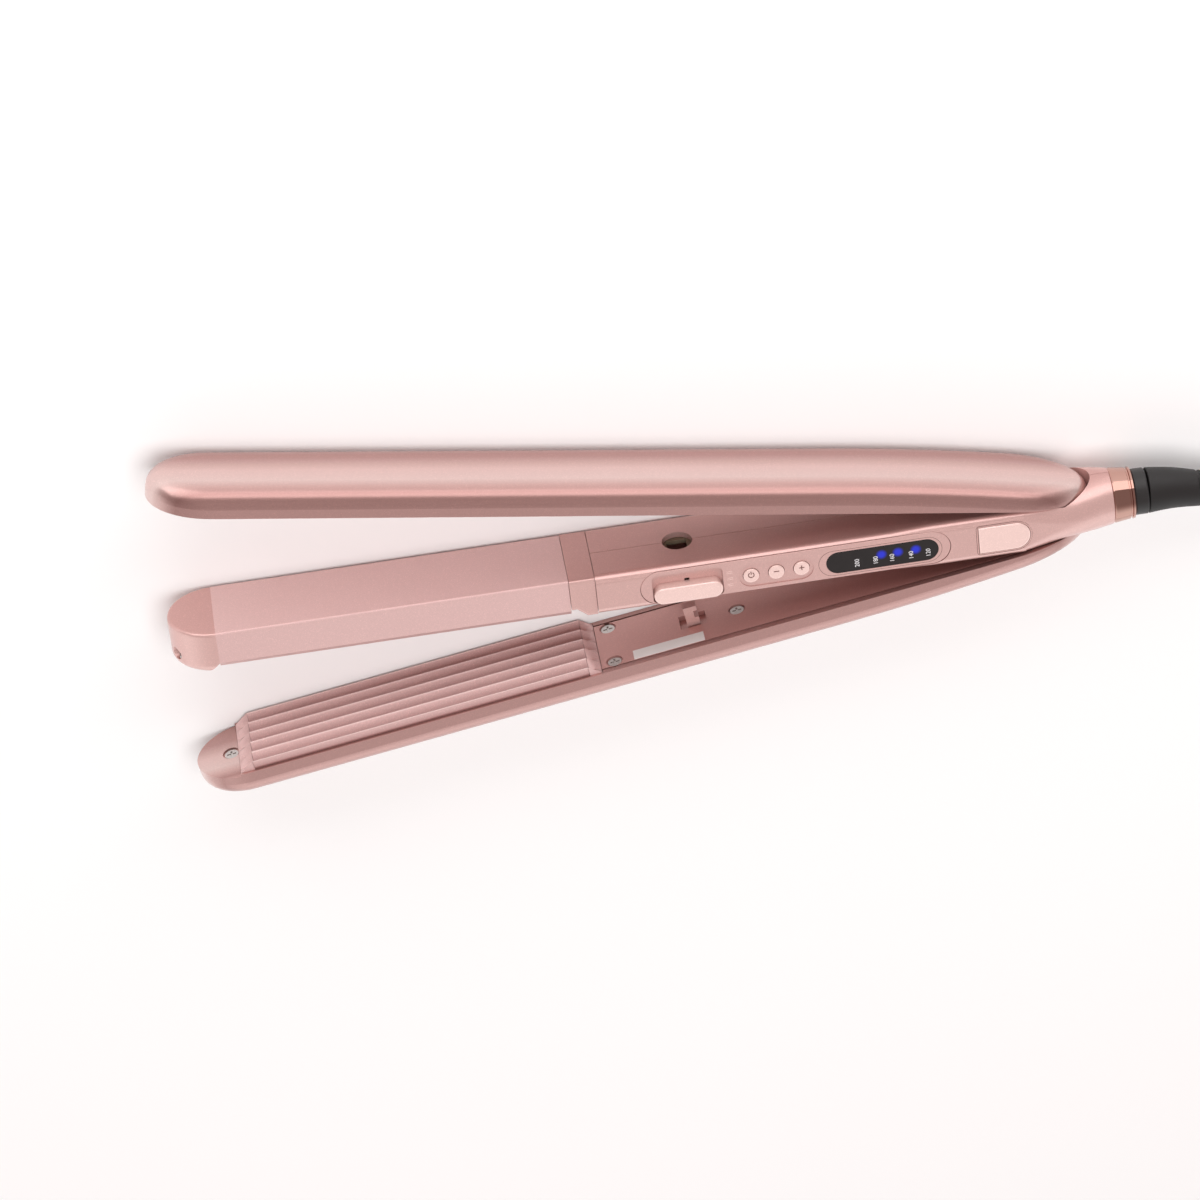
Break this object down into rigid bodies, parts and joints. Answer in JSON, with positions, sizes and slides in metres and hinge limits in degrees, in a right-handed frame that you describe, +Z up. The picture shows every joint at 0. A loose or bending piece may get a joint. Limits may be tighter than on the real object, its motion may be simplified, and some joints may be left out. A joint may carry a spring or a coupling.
{
  "type": "hair crimper",
  "caption": "Three-arm hair crimper with a flat upper plate, a round-cornered heated core and a ridged lower plate, opened by springs.",
  "frame": {"origin": "on the face the tool lies on, under the hinge pin's axis", "axes": "+X along the middle arm towards the cord, +Y towards the upper arm, +Z up along the hinge pin, control side up"},
  "size_m": [0.4555, 0.1587, 0.0283],
  "materials": {
    "rose_shell": "satin metallic rose gold paint",
    "rose_plate": "coated heating plate, fine sparkle",
    "gloss_pink": "glossy pale pink",
    "plated_ring": "polished rose gold plating",
    "black_rubber": "matte",
    "black_plastic": "matte",
    "window": "smoked, glossy",
    "led_bar": "diffusing",
    "board": "circuit board",
    "switch": "matte",
    "steel": "nickel plated",
    "spring_steel": "drawn wire",
    "heater": "ceramic heating element",
    "carrier": "glass-filled, tan",
    "silicone": "silicone",
    "copper": "wire",
    "label": "blank paper label"
  },
  "bodies": {
    "handle": {"handle_far_half": "rose_shell", "handle_control_half": "rose_shell", "handle_screws": "steel", "hinge_pin": "steel", "hinge_cover_far": "gloss_pink", "hinge_cover_control": "gloss_pink", "upper_spring": "spring_steel", "lower_spring": "spring_steel", "core_flat_plate": "rose_plate", "core_crimp_plate": "rose_plate", "core_flat_heater": "heater", "core_crimp_heater": "heater", "heater_spreader": "carrier", "thermal_fuse": "steel", "tip_cap": "rose_shell", "tip_cap_screw": "steel", "heat_collar": "rose_shell", "control_panel": "rose_shell", "display_window": "window", "display_leds": "led_bar", "control_board": "board", "tact_switches": "switch", "power_board": "board", "plated_ring": "plated_ring", "cord_boot": "black_rubber", "supply_wires": "copper", "cord": "black_rubber", "cord_coil": "black_rubber", "cord_end": "black_rubber", "cord_tie": "black_plastic", "plug_body": "black_plastic", "plug_pins": "steel"},
    "lock_slider": {"lock_slider": "gloss_pink"},
    "latch_bar": {"latch_bar": "carrier"},
    "power_key": {"button_power": "gloss_pink"},
    "minus_key": {"button_minus": "gloss_pink"},
    "plus_key": {"button_plus": "gloss_pink"},
    "swivel": {"swivel_drum": "black_plastic"},
    "upper_arm": {"upper_shell": "rose_shell", "upper_inner_cover": "rose_shell", "straightening_plate": "rose_plate", "upper_plate_carrier": "carrier", "upper_heater": "heater", "upper_cushions": "silicone", "upper_latch_hook": "carrier", "upper_screws": "steel"},
    "lower_arm": {"lower_shell": "rose_shell", "lower_inner_cover": "rose_shell", "crimp_plate": "rose_plate", "crimp_tip_piece": "rose_plate", "crimp_rear_piece": "rose_plate", "lower_plate_carrier": "carrier", "lower_heater": "heater", "lower_cushions": "silicone", "lower_latch_hook": "rose_shell", "lower_screws": "steel", "blank_label": "label"}
  },
  "joints": [
    {"name": "upper_hinge", "type": "hinge", "parent": "handle", "child": "upper_arm", "pos_m": [0, 0, 0.0135], "axis": [0, 0, 1], "range_deg": [0, 9.45], "stiffness_Nm_per_rad": 0.15, "springref_deg": -20.05, "deforming": ["upper_spring"]},
    {"name": "lower_hinge", "type": "hinge", "parent": "handle", "child": "lower_arm", "pos_m": [0, 0, 0.0135], "axis": [0, 0, -1], "range_deg": [0, 8.85], "stiffness_Nm_per_rad": 0.15, "springref_deg": -20.05, "deforming": ["lower_spring"]},
    {"name": "lock_slide", "type": "slide", "parent": "handle", "child": "lock_slider", "axis": [0, 1, 0], "range_m": [0, 0.004]},
    {"name": "latch_slide", "type": "slide", "parent": "handle", "child": "latch_bar", "axis": [-1, 0, 0], "range_m": [0, 0.0014]},
    {"name": "power_key_press", "type": "slide", "parent": "handle", "child": "power_key", "axis": [0, 0, -1], "range_m": [0, 0.0005], "stiffness_N_per_m": 400, "springref_m": -0.001},
    {"name": "minus_key_press", "type": "slide", "parent": "handle", "child": "minus_key", "axis": [0, 0, -1], "range_m": [0, 0.0005], "stiffness_N_per_m": 400, "springref_m": -0.001},
    {"name": "plus_key_press", "type": "slide", "parent": "handle", "child": "plus_key", "axis": [0, 0, -1], "range_m": [0, 0.0005], "stiffness_N_per_m": 400, "springref_m": -0.001},
    {"name": "cord_swivel", "type": "hinge", "parent": "handle", "child": "swivel", "pos_m": [0.036, 0, 0.0135], "axis": [1, 0, 0], "continuous": true}
  ],
  "couplings": [
    {"joint": "latch_slide", "follows": "lock_slide", "ratio": 0.35}
  ]
}
